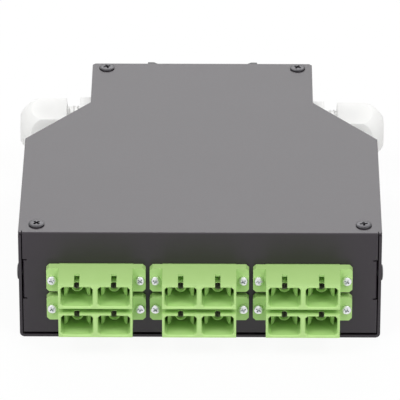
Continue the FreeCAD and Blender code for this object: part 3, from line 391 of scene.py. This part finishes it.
# %% [markdown]
# ## Rounded edges
# Solids from CAD have knife edges, and a real edge is never that sharp: the coat pools on a sheet's
# edge and a mould has small radii. These radii catch the thin light lines that make a piece look real.
# A piece could be modelled again from nothing, but a copy of its CAD mesh keeps its sizes. The copy's
# triangles are merged, flat neighbours are joined, and a Bevel modifier rounds what is still sharp.

# %% Helpers that make worked copies
SHARP = math.radians(30.0)
FLAT = math.radians(0.5)
MERGE_MM = 0.002


def only(piece):
    """Selects this piece alone and makes it the active one."""
    bpy.ops.object.select_all(action="DESELECT")
    piece.select_set(True)
    bpy.context.view_layer.objects.active = piece


def round_edges(piece, radius_mm, steps=2):
    """Rounds every edge that turns by more than the sharp angle, and shades the rest smooth."""
    only(piece)
    rounding = piece.modifiers.new("rounding", "BEVEL")
    rounding.width = radius_mm * MM
    rounding.segments = steps
    rounding.limit_method = "ANGLE"
    rounding.angle_limit = SHARP
    rounding.loop_slide = False
    bpy.ops.object.modifier_apply(modifier="rounding")
    bpy.ops.object.shade_smooth_by_angle(angle=SHARP)
    weighted = piece.modifiers.new("weighted", "WEIGHTED_NORMAL")
    weighted.keep_sharp = True
    bpy.ops.object.modifier_apply(modifier="weighted")


def pick_faces(piece, wanted):
    """In edit mode, selects the faces that pass a test of their centre and normal."""
    bpy.ops.object.mode_set(mode="EDIT")
    bpy.ops.mesh.select_mode(type="FACE")
    bpy.ops.mesh.select_all(action="DESELECT")
    bpy.ops.object.mode_set(mode="OBJECT")
    for face in piece.data.polygons:
        face.select = wanted(face.center, face.normal)
    bpy.ops.object.mode_set(mode="EDIT")


def merged_copy(node):
    """A copy of a CAD piece whose triangles are merged and whose flat neighbours are joined."""
    piece = bpy.data.objects.new(f"{node}_worked", frame["nodes"][node].data.copy())
    bpy.context.scene.collection.objects.link(piece)
    only(piece)
    bpy.ops.mesh.customdata_custom_splitnormals_clear()
    bpy.ops.object.mode_set(mode="EDIT")
    bpy.ops.mesh.select_all(action="SELECT")
    bpy.ops.mesh.remove_doubles(threshold=MERGE_MM * MM)
    bpy.ops.mesh.dissolve_limited(angle_limit=FLAT)
    bpy.ops.object.mode_set(mode="OBJECT")
    return piece


def worked_copy(node, radius_mm, steps=2):
    """A merged copy of a CAD piece with rounded edges."""
    piece = merged_copy(node)
    round_edges(piece, radius_mm, steps)
    return piece


def stand_for(piece, node):
    """The piece takes the place of a CAD node, moves with its body and keeps its finish."""
    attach(piece, frame["nodes"][node]["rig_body"])
    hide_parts(node)
    return piece


# %% [markdown]
# ## Tray
# The tray is folded from 1 mm sheet. A punched edge has a burr side and a drawn-in side, and the coat
# rounds both to about a sixth of a millimetre. The folds are in the CAD model already, so only the
# edges are worked.

# %% Tray
SHEET_EDGE_MM = 0.15

tray = stand_for(worked_copy("tray", SHEET_EDGE_MM), "tray")
print("tray", len(tray.data.polygons), "faces")

# %% [markdown]
# ## Cover
# The lid and the front panel are one sheet with a fold between them that is pressed tight. A smaller
# bevel in the copy would need the fold to be cut away first. Instead its outer faces are scaled towards
# the corner where the two planes would meet, which leaves both planes where they are.

# %% Cover with its tight fold
FOLD_CORNER = (0.0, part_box("cover")[0].y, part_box("cover")[1].z)
FOLD_REACH = 1.15 * MM
FOLD_SHARE = 0.4
SLANTED = 0.01


def on_the_fold(centre, normal):
    """True for faces near the fold's corner that look both forwards and upwards."""
    near = centre.y < FOLD_CORNER[1] + FOLD_REACH and centre.z > FOLD_CORNER[2] - FOLD_REACH
    return near and normal.y < -SLANTED and normal.z > SLANTED


cover = merged_copy("cover")
pick_faces(cover, on_the_fold)
bpy.ops.transform.resize(value=(1.0, FOLD_SHARE, FOLD_SHARE), center_override=FOLD_CORNER)
bpy.ops.object.mode_set(mode="OBJECT")
round_edges(cover, SHEET_EDGE_MM)
stand_for(cover, "cover")
print("cover", len(cover.data.polygons), "faces")

# %% [markdown]
# ## Duplex adapters
# Each adapter is one moulding with two ports, and a latch insert sits in each port. Working every one
# by itself would give the same mesh each time, so the first housing and the first insert are worked and
# then copied to the places of the others. The sleeve holders are one group of twelve in the CAD model
# and are worked together.

# %% Adapter housings, latch inserts and sleeve holders
MOULDINGS = {
    # pieces of the same shape: how many there are, radius of their edges in mm
    "adapter_housing": (6, 0.12),
    "adapter_insert": (12, 0.1),
}
HOLDER_EDGE_MM = 0.08


def repeat(first, first_node, nodes):
    """Copies a finished piece to the places of other nodes of its shape, each with its own mesh."""
    for node in nodes:
        mesh = first.data.copy()
        mesh.transform(Matrix.Translation(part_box(node)[0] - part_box(first_node)[0]))
        copy = bpy.data.objects.new(f"{node}_worked", mesh)
        bpy.context.scene.collection.objects.link(copy)
        stand_for(copy, node)


for moulding, (count, edge_mm) in MOULDINGS.items():
    nodes = [f"{moulding}_{i}" for i in range(1, count + 1)]
    first = stand_for(worked_copy(nodes[0], edge_mm), nodes[0])
    repeat(first, nodes[0], nodes[1:])
    print(count, moulding, "with", len(first.data.polygons), "faces each")

holders = stand_for(worked_copy("sleeve_holders", HOLDER_EDGE_MM), "sleeve_holders")
print("holders", len(holders.data.polygons), "faces")

# %% [markdown]
# ## Screws with a cross recess
# A screw head starts as a short cylinder. Its top is inset in steps that rise less and less, which
# makes the low dome, and its underside is inset and drawn down into the shank. The recess could be
# painted as a dark cross, but only a real one catches light on its flanks, so a tapered cross cuts it
# with a Boolean, as the punch does it. The two kinds of screw differ only in their sizes, so the same
# functions make both.

# %% Screw maker
HEAD_CORNERS = 40
DOME_DEGREES = (0, 12, 26, 42, 60, 76)
TIP_MM = 0.4
TIP_INSET_MM = 0.3
SLOT_SHARE = 0.3
PUNCH_TAPER = 0.65
HEAD_EDGE_MM = 0.05
LEVEL = 0.9
UPRIGHT_WALL = 0.1


def looks_up(centre, normal):
    """True for a face that looks up."""
    return normal.z > LEVEL


def looks_down(centre, normal):
    """True for a face that looks down."""
    return normal.z < -LEVEL


def looks_sideways(centre, normal):
    """True for a face that stands upright."""
    return abs(normal.z) < UPRIGHT_WALL


def screw_blank(name, size_mm):
    """A domed head on a shank, along Z, with the seat of the head at the origin."""
    bpy.ops.object.select_all(action="DESELECT")
    radius_mm = size_mm["head"] / 2
    bpy.ops.mesh.primitive_cylinder_add(
        vertices=HEAD_CORNERS,
        radius=radius_mm * MM,
        depth=size_mm["rim"] * MM,
        location=(0.0, 0.0, size_mm["rim"] / 2 * MM),
    )
    screw = bpy.context.active_object
    screw.name = name
    bpy.ops.object.transform_apply(location=True)
    pick_faces(screw, looks_up)
    rings = [math.radians(angle) for angle in DOME_DEGREES]
    for low, high in zip(rings[:-1], rings[1:]):
        step_mm = radius_mm * (math.cos(low) - math.cos(high))
        rise_mm = size_mm["crown"] * (math.sin(high) - math.sin(low))
        bpy.ops.mesh.inset(thickness=step_mm * MM, depth=rise_mm * MM)
    pick_faces(screw, looks_down)
    bpy.ops.mesh.inset(thickness=(radius_mm - size_mm["shank"] / 2) * MM)
    shank_end = (0.0, 0.0, -(size_mm["length"] - TIP_MM) * MM)
    bpy.ops.mesh.extrude_region_move(TRANSFORM_OT_translate={"value": shank_end})
    bpy.ops.mesh.inset(thickness=TIP_INSET_MM * MM, depth=TIP_MM * MM)
    bpy.ops.object.mode_set(mode="OBJECT")
    return screw


def cross_punch(size_mm):
    """A cross that narrows downwards, with its middle at the top of the head."""
    slot_mm = SLOT_SHARE * size_mm["wing"]
    reach_mm = (size_mm["wing"] - slot_mm) / 2
    bpy.ops.object.select_all(action="DESELECT")
    bpy.ops.mesh.primitive_cube_add(size=1.0)
    punch = bpy.context.active_object
    bpy.ops.object.mode_set(mode="EDIT")
    bpy.ops.mesh.select_all(action="SELECT")
    bpy.ops.transform.resize(value=(slot_mm * MM, slot_mm * MM, 2 * size_mm["sink"] * MM))
    bpy.ops.transform.translate(value=(0.0, 0.0, (size_mm["rim"] + size_mm["crown"]) * MM))
    pick_faces(punch, looks_sideways)
    bpy.ops.mesh.extrude_faces_move(TRANSFORM_OT_shrink_fatten={"value": reach_mm * MM})
    pick_faces(punch, looks_down)
    bpy.ops.transform.resize(value=(PUNCH_TAPER, PUNCH_TAPER, 1.0))
    bpy.ops.object.mode_set(mode="OBJECT")
    return punch


def cross_screw(name, size_mm):
    """A screw blank with a cross recess punched into its head."""
    screw = screw_blank(name, size_mm)
    punch = cross_punch(size_mm)
    only(screw)
    recess = screw.modifiers.new("recess", "BOOLEAN")
    recess.object = punch
    recess.solver = "EXACT"
    bpy.ops.object.modifier_apply(modifier="recess")
    bpy.data.objects.remove(punch)
    round_edges(screw, HEAD_EDGE_MM)
    return screw


# %% [markdown]
# ## Driving the screws
# Screws of one kind are one group in the CAD model. Each copy of the finished screw gets a turn of its
# own, because no two recesses stop at the same angle, and a tilt that points its head out of the sheet.
# The copies could stay apart, but joined they stand for the group and move with it.

# %% Helper that drives a group of screws
UPRIGHT = Matrix.Identity(4)
FORWARD = Matrix.Rotation(math.radians(90.0), 4, "X")
RIGHTWARD = Matrix.Rotation(math.radians(90.0), 4, "Y")
LEFTWARD = Matrix.Rotation(math.radians(-90.0), 4, "Y")


def middle(node):
    """The middle of a CAD piece's box."""
    low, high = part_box(node)
    return (low + high) / 2


def drive(screw, node, spots):
    """Copies of a screw at its spots, joined to one piece that stands for the node's group."""
    copies = []
    for point, tilt, turn_degrees in spots:
        mesh = screw.data.copy()
        mesh.transform(Matrix.Rotation(math.radians(turn_degrees), 4, "Z"))
        mesh.transform(Matrix.Translation(point) @ tilt)
        copy = bpy.data.objects.new(f"{node}_worked", mesh)
        bpy.context.scene.collection.objects.link(copy)
        copies.append(copy)
    only(copies[0])
    for copy in copies:
        copy.select_set(True)
    bpy.ops.object.join()
    group = bpy.context.view_layer.objects.active
    group.data.materials.clear()
    group.data.materials.append(finish[slot_of[node]])
    bpy.data.objects.remove(screw)
    stand_for(group, node)
    print(node, len(copies), "screws", len(group.data.polygons), "faces")


# %% [markdown]
# ## Lid and side screws
# Four low black screws hold the lid at its corners and two more go through the side walls. They are the
# same screw, so one table of sizes serves both groups. Their places are those of the holes in the sheet.

# %% Lid and side screws
LID_SCREW_MM = {
    "head": 5.5, "rim": 0.35, "crown": 0.4, "shank": 2.9, "length": 5.5, "wing": 3.3, "sink": 1.1
}
FRONT_CORNER = Vector((56.3 * MM, -56.75 * MM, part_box("cover")[1].z))
REAR_CORNER = Vector((34.75 * MM, 58.9 * MM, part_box("cover")[1].z))
TO_THE_LEFT = Vector((-1.0, 1.0, 1.0))

drive(
    cross_screw("lid_screw", LID_SCREW_MM),
    "cover_screws",
    [
        (FRONT_CORNER * TO_THE_LEFT, UPRIGHT, 45.0),
        (FRONT_CORNER, UPRIGHT, 8.0),
        (REAR_CORNER * TO_THE_LEFT, UPRIGHT, 24.0),
        (REAR_CORNER, UPRIGHT, 58.0),
    ],
)

right_wall = Vector((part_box("tray")[1].x, middle("side_screws").y, middle("side_screws").z))
drive(
    cross_screw("side_screw", LID_SCREW_MM),
    "side_screws",
    [(right_wall * TO_THE_LEFT, LEFTWARD, 30.0), (right_wall, RIGHTWARD, 70.0)],
)

# %% [markdown]
# ## Adapter screws
# A small bright screw sits in each ear of an adapter, level with the middle of its housing. The places
# could be listed, but they follow from the boxes of the housings, so a loop finds them.

# %% Adapter screws
EAR_SCREW_MM = {
    "head": 3.25, "rim": 0.85, "crown": 0.35, "shank": 1.9, "length": 5.0, "wing": 2.3, "sink": 1.3
}
EAR_REACH = 15.15 * MM
EAR_TURNS = (12.0, 48.0, 71.0, 33.0, 5.0, 62.0, 25.0, 80.0, 41.0, 17.0, 55.0, 68.0)

ear_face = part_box("adapter_screws")[0].y + (EAR_SCREW_MM["rim"] + EAR_SCREW_MM["crown"]) * MM
spots = []
for i in range(1, 7):
    centre = middle(f"adapter_housing_{i}")
    for side in (-EAR_REACH, EAR_REACH):
        point = Vector((centre.x + side, ear_face, centre.z))
        spots.append((point, FORWARD, EAR_TURNS[len(spots)]))
drive(cross_screw("ear_screw", EAR_SCREW_MM), "adapter_screws", spots)

# %% [markdown]
# ## Cable glands
# A gland is a white polyamide body screwed to the wall, with a domed cap nut on its outer thread and a
# rubber seal inside. All three come out of moulds with soft edges. The dome of the cap nut catches the
# most light, so its edges get one step more.

# %% Cap nuts, gland bodies and seals
GLAND_EDGES = {
    # piece: radius of its edges in mm, steps of the rounding
    "gland_cap_nut": (0.45, 3),
    "gland_body": (0.3, 2),
    "gland_seal": (0.4, 2),
}
for side in ("left", "right"):
    for kind, (edge_mm, steps) in GLAND_EDGES.items():
        piece = stand_for(worked_copy(f"{kind}_{side}", edge_mm, steps), f"{kind}_{side}")
        print(kind, side, len(piece.data.polygons), "faces")

# %% [markdown]
# ## Gland threads
# The thread shows between the cap nut and the hexagon of the body. A ring of grooves would look much
# the same, but a thread climbs, so a triangle is swept by a Screw modifier: one millimetre and a half
# per turn, as on a gland of this size. The left thread is the right one turned about, because both
# glands have the same hand.

# %% Gland threads
THREAD_PITCH_MM = 1.5
THREAD_TURNS = 2
THREAD_STEPS = 48
THREAD_START_MM = 45.2
THREAD_RADIUS_MM = 7.5
TOOTH_MM = 0.55
TOOTH_EDGE_MM = 0.08

bpy.ops.object.select_all(action="DESELECT")
bpy.ops.mesh.primitive_circle_add(vertices=3, radius=TOOTH_MM * MM, fill_type="NOTHING")
thread = bpy.context.active_object
thread.name = "gland_thread_right"
bpy.ops.object.mode_set(mode="EDIT")
bpy.ops.mesh.select_all(action="SELECT")
bpy.ops.transform.rotate(value=math.radians(-90.0), orient_axis="X", center_override=(0.0, 0.0, 0.0))
bpy.ops.transform.translate(value=(THREAD_START_MM * MM, 0.0, THREAD_RADIUS_MM * MM))
bpy.ops.object.mode_set(mode="OBJECT")
print("tooth", [[round(value / MM, 2) for value in corner.co] for corner in thread.data.vertices])

# %% [markdown]
# The sweep leaves the thread open at both ends, so the ends are filled and the faces turned outwards
# before its edges are rounded.

# %% Sweep and close the thread
sweep = thread.modifiers.new("sweep", "SCREW")
sweep.axis = "X"
sweep.angle = math.radians(360.0)
sweep.screw_offset = THREAD_PITCH_MM * MM
sweep.iterations = THREAD_TURNS
sweep.steps = THREAD_STEPS
sweep.render_steps = THREAD_STEPS
sweep.use_smooth_shade = False
bpy.ops.object.modifier_apply(modifier="sweep")
bpy.ops.object.mode_set(mode="EDIT")
bpy.ops.mesh.select_mode(type="EDGE")
bpy.ops.mesh.select_all(action="DESELECT")
bpy.ops.mesh.select_non_manifold()
bpy.ops.mesh.fill()
bpy.ops.mesh.select_all(action="SELECT")
bpy.ops.mesh.normals_make_consistent(inside=False)
bpy.ops.object.mode_set(mode="OBJECT")
round_edges(thread, TOOTH_EDGE_MM)
thread.data.materials.append(finish["white_nylon"])

left_thread = bpy.data.objects.new("gland_thread_left", thread.data.copy())
bpy.context.scene.collection.objects.link(left_thread)
left_thread.data.transform(Matrix.Rotation(math.radians(180.0), 4, "Z"))
for piece, side in ((thread, "right"), (left_thread, "left")):
    axis = middle(f"gland_body_{side}")
    piece.data.transform(Matrix.Translation((0.0, axis.y, axis.z)))
    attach(piece, "box")
print("threads", len(thread.data.polygons), "faces each")

# %% [markdown]
# ## Rail clip
# The clip on the rear wall is moulded in black polyamide, with radii of a third of a millimetre. Its
# latch slides four millimetres and presses the folded spring against a post. The spring is a merged
# copy with its own mesh, and its edges are not rounded.

# %% Rail clip
CLIP_EDGE_MM = 0.3

for node in ("clip_base", "clip_latch"):
    piece = stand_for(worked_copy(node, CLIP_EDGE_MM), node)
    print(node, len(piece.data.polygons), "faces")
spring = stand_for(merged_copy("clip_spring"), "clip_spring")
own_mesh(spring)
print("spring", len(spring.data.polygons), "faces")

# %% [markdown]
# ## Floor and light
# The box stands on a white floor in front of a white backdrop. More light would make both white, but
# it would bleach the box too. So what the eye sees of them is set apart from the light that they give:
# the Light Path node tells rays from the eye, a mirror or a lens from rays that only carry light.

# %% What the eye sees of floor and backdrop


def seen_share(tree, unseen, seen):
    """A value that differs between rays from the eye, a mirror or a lens and rays that carry light."""
    path = add_node(tree, "ShaderNodeLightPath")
    straight = add_node(
        tree,
        "ShaderNodeMath",
        None,
        {0: path.outputs["Is Camera Ray"], 1: path.outputs["Is Glossy Ray"]},
        operation="MAXIMUM",
    )
    either = add_node(
        tree,
        "ShaderNodeMath",
        None,
        {0: straight.outputs["Value"], 1: path.outputs["Is Transmission Ray"]},
        operation="MAXIMUM",
    )
    share = add_node(
        tree, "ShaderNodeMapRange", {"To Min": unseen, "To Max": seen}, {"Value": either.outputs["Value"]}
    )
    return share.outputs["Result"]


# %% [markdown]
# The floor is a large sheet painted white. The eye sees it mostly as plain white, with the rest left to
# the paint, so that a trace of the box's shadow stays.

# %% Floor
WHITE = (1.0, 1.0, 1.0, 1.0)
FLOOR_SIZE = 6.0
FLOOR_LEVEL = -0.05 * MM
FLOOR_WHITE_SHARE = 0.93

bpy.ops.object.select_all(action="DESELECT")
bpy.ops.mesh.primitive_plane_add(size=FLOOR_SIZE, location=(0.0, 0.0, FLOOR_LEVEL))
floor = bpy.context.active_object
floor.name = "floor"
floor_paint, tree, _ = new_finish("white_floor_paint")
paint = add_node(tree, "ShaderNodeBsdfPrincipled", {"Base Color": linear("#f6f6f6"), "Roughness": 0.9})
glow = add_node(tree, "ShaderNodeEmission", {"Color": WHITE, "Strength": 1.0})
mixed = add_node(
    tree,
    "ShaderNodeMixShader",
    None,
    {0: seen_share(tree, 0.0, FLOOR_WHITE_SHARE), 1: paint.outputs["BSDF"], 2: glow.outputs["Emission"]},
)
add_node(tree, "ShaderNodeOutputMaterial", links={"Surface": mixed.outputs["Shader"]})
floor.data.materials.append(floor_paint)
print("floor", FLOOR_SIZE, "m wide")

# %% [markdown]
# The backdrop is the world. It is white to the eye and gives less than half of that as light, so it
# fills the shadows and stays at a plain level.

# %% White backdrop
BACKDROP_LIGHT = 0.42
BACKDROP_SEEN = 1.0

world = bpy.data.worlds.new("white_backdrop")
bpy.context.scene.world = world
world.use_nodes = True
tree = world.node_tree
tree.nodes.clear()
sky = add_node(
    tree,
    "ShaderNodeBackground",
    {"Color": WHITE},
    {"Strength": seen_share(tree, BACKDROP_LIGHT, BACKDROP_SEEN)},
)
add_node(tree, "ShaderNodeOutputWorld", links={"Surface": sky.outputs["Background"]})
print("backdrop gives", BACKDROP_LIGHT, "and shows", BACKDROP_SEEN)

# %% [markdown]
# A large soft light behind and above lays the pale sheen on the top plate. A pair hangs high in front,
# to the left and to the right. It reaches the floor of a port near its lip and leaves the depth dark,
# and the adapters shade the low ears between them, as in the photograph. One light in the middle would
# reach all the ears alike.

# %% Soft lights
LIGHTS = {
    # place in metres, width and depth in metres, power in watts
    "rear_softbox": ((0.0, 1.5, 1.05), (1.0, 0.8), 10.5),
    "left_softbox": ((-0.77, -0.77, 1.39), (0.7, 0.7), 11.0),
    "right_softbox": ((0.77, -0.77, 1.39), (0.7, 0.7), 11.0),
}
LIT_POINT = Vector((0.0, 0.0, 0.02))

for name, (spot, size, power) in LIGHTS.items():
    lamp = bpy.data.lights.new(name, "AREA")
    lamp.shape = "RECTANGLE"
    lamp.size, lamp.size_y = size
    lamp.energy = power
    stand = bpy.data.objects.new(name, lamp)
    bpy.context.scene.collection.objects.link(stand)
    stand.location = spot
    aim = LIT_POINT - stand.location
    stand.rotation_euler = aim.to_track_quat("-Z", "Y").to_euler()
    print(name, power, "W")
bpy.context.scene.view_settings.view_transform = "Standard"
